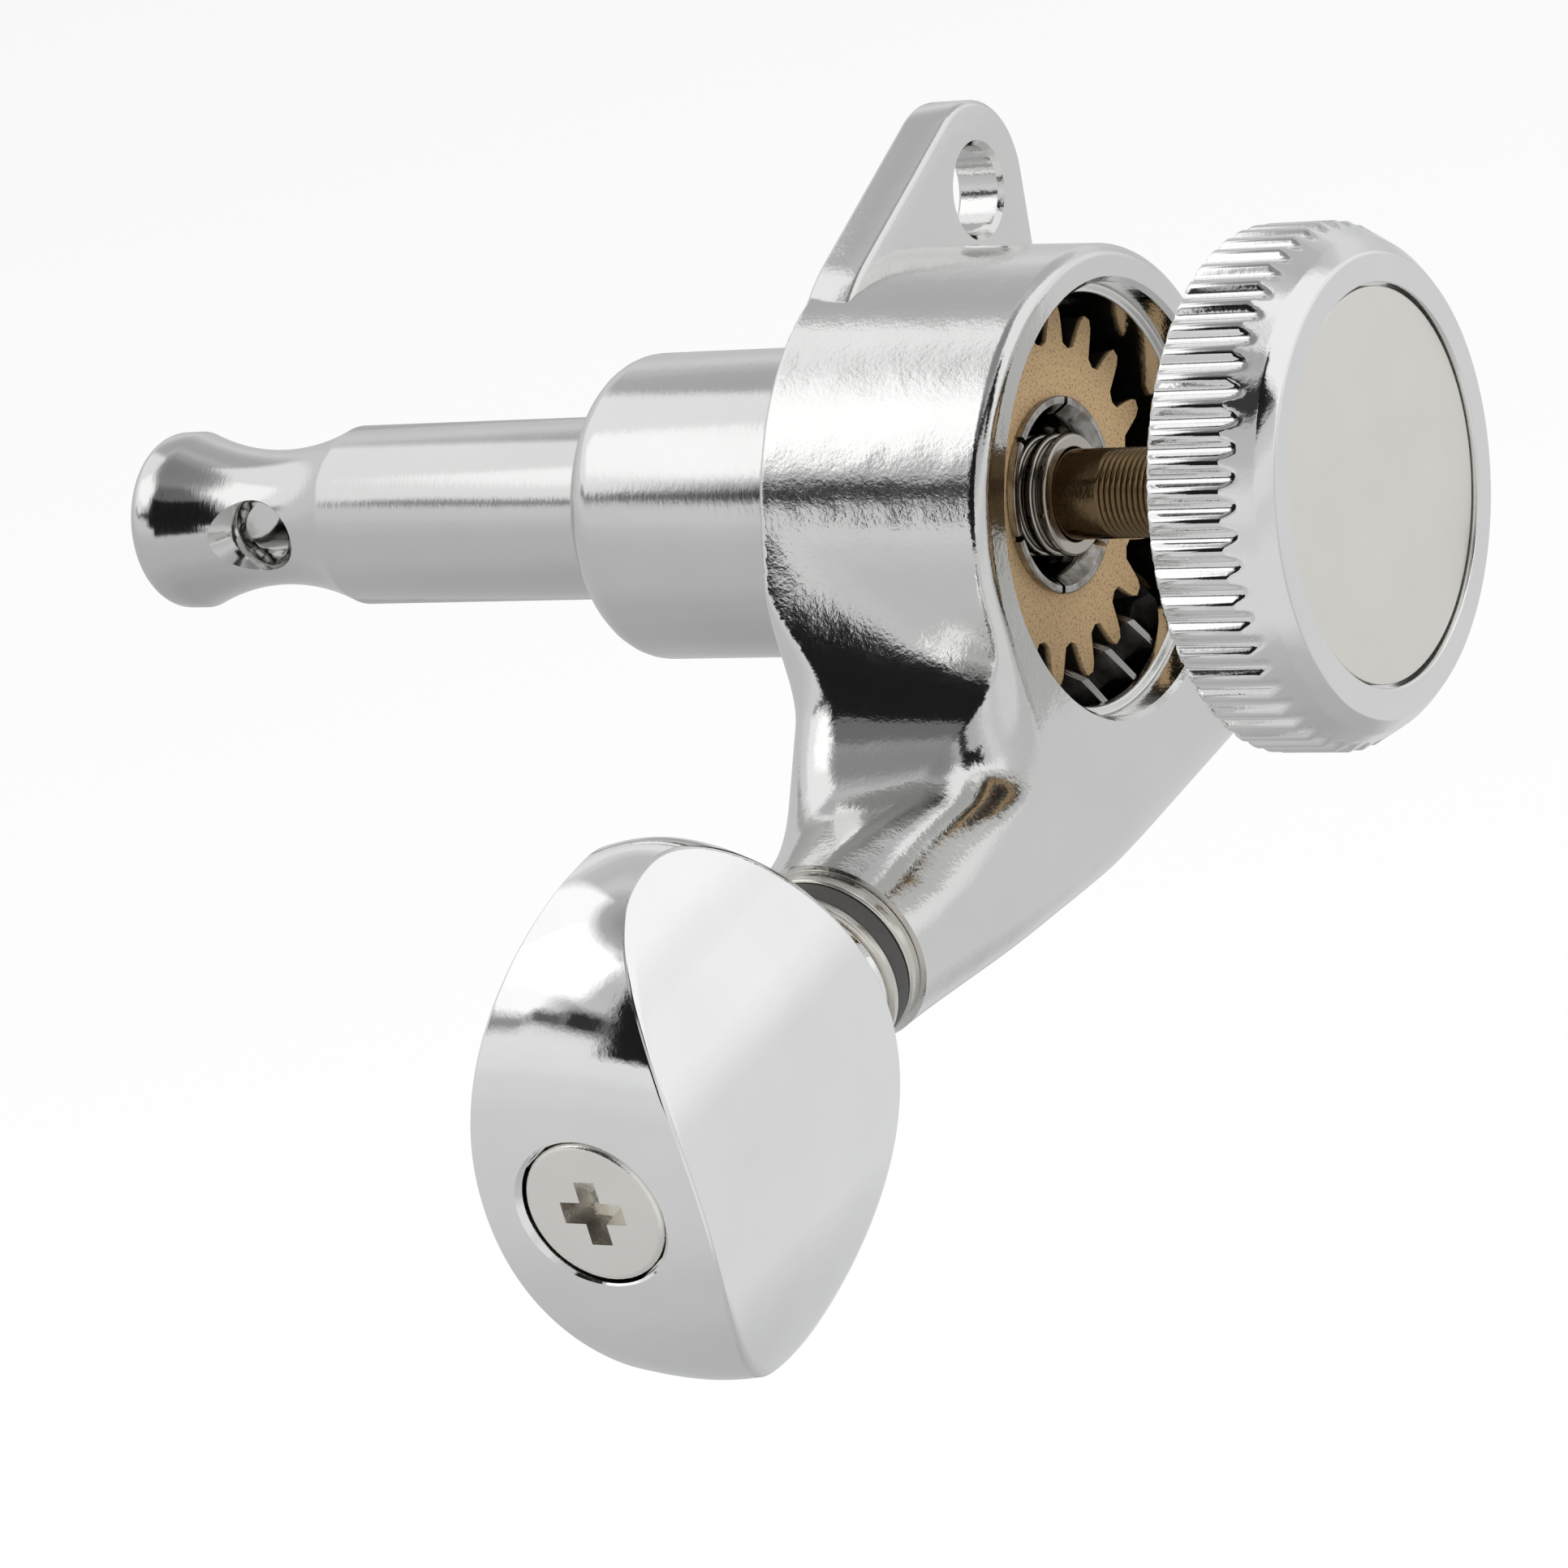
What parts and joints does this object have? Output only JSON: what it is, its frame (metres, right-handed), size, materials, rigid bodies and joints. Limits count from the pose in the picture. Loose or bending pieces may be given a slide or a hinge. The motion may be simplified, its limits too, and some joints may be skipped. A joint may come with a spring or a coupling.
{
  "type": "guitar tuning machine",
  "caption": "Locking guitar tuning machine: a side button turns a worm and the string post, and a knurled thumb wheel behind clamps the string in the post.",
  "frame": {"origin": "on the string post's axis, in the plane where the housing seats on the back of the headstock", "axes": "+X from the string end of the post towards the thumb wheel, +Y away from the button, +Z from the worm towards the screw ear"},
  "size_m": [0.0465, 0.0409, 0.0264],
  "materials": {
    "chrome_plate": "bright chrome plating over a die casting or turned brass",
    "nickel_plate": "polished nickel plating",
    "bronze": "dull sintered bronze",
    "brass_stem": "cut brass, darkened",
    "cut_steel": "turned steel",
    "nylon": "black nylon",
    "satin_disc": "fine satin, warm grey"
  },
  "bodies": {
    "casing": {"housing": "chrome_plate", "front_sleeve": "chrome_plate", "post_bush": "bronze", "gear_thrust_washer": "cut_steel", "worm_inner_bush": "bronze", "worm_mouth_bush": "nickel_plate"},
    "worm": {"worm_shaft": "cut_steel", "worm_thrust_washer": "nylon", "friction_washer": "nylon", "steel_washer": "nickel_plate", "button": "chrome_plate", "button_screw": "nickel_plate"},
    "post": {"string_post": "chrome_plate", "post_clip": "cut_steel", "worm_wheel": "bronze", "post_insert": "nickel_plate"},
    "pin": {"locking_pin": "cut_steel"},
    "lock": {"lock_stem": "brass_stem", "thumb_wheel": "chrome_plate", "wheel_nut": "cut_steel", "face_disc": "satin_disc"}
  },
  "joints": [
    {"name": "button_turn", "type": "hinge", "parent": "casing", "child": "worm", "pos_m": [0.00433, -0.01, -0.00745], "axis": [0, -1, 0], "continuous": true},
    {"name": "post_turn", "type": "hinge", "parent": "casing", "child": "post", "pos_m": [0, 0, 0], "axis": [-1, 0, 0], "continuous": true},
    {"name": "pin_slide", "type": "slide", "parent": "post", "child": "pin", "axis": [-1, 0, 0], "range_m": [-0.0005, 0.00175]},
    {"name": "wheel_turn", "type": "hinge", "parent": "pin", "child": "lock", "pos_m": [0, 0, 0], "axis": [-1, 0, 0], "range_deg": [-361, 1261]}
  ],
  "couplings": [
    {"joint": "post_turn", "follows": "button_turn", "ratio": -0.055556},
    {"joint": "wheel_turn", "follows": "pin_slide", "rad_per_m": 12566}
  ]
}
